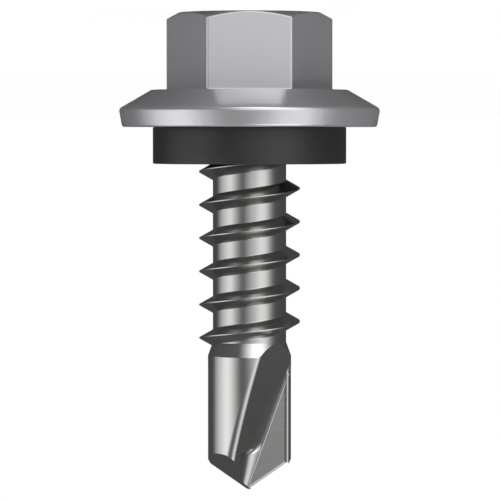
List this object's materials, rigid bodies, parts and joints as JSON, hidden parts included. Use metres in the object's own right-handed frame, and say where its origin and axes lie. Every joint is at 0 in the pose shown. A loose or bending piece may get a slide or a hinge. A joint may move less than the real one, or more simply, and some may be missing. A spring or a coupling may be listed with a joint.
{
  "type": "self drilling screw",
  "caption": "Hexagon washer-head self drilling screw with a coarse right-hand thread, a fluted drill point and a rubber sealing washer under the head.",
  "frame": {"origin": "centre of the flat crown on top of the head, which is the face that the screw stands on", "axes": "+Z along the screw's axis from the head to the drill point; two flats of the hexagon face -Y and +Y"},
  "size_m": [0.0142, 0.0142, 0.026],
  "materials": {
    "steel": "bright zinc plated, satin on the head and polished on the shank and the drill point",
    "rubber": "matt black sealing rubber"
  },
  "bodies": {
    "root": {"screw": "steel", "sealing_washer": "rubber"}
  },
  "joints": []
}
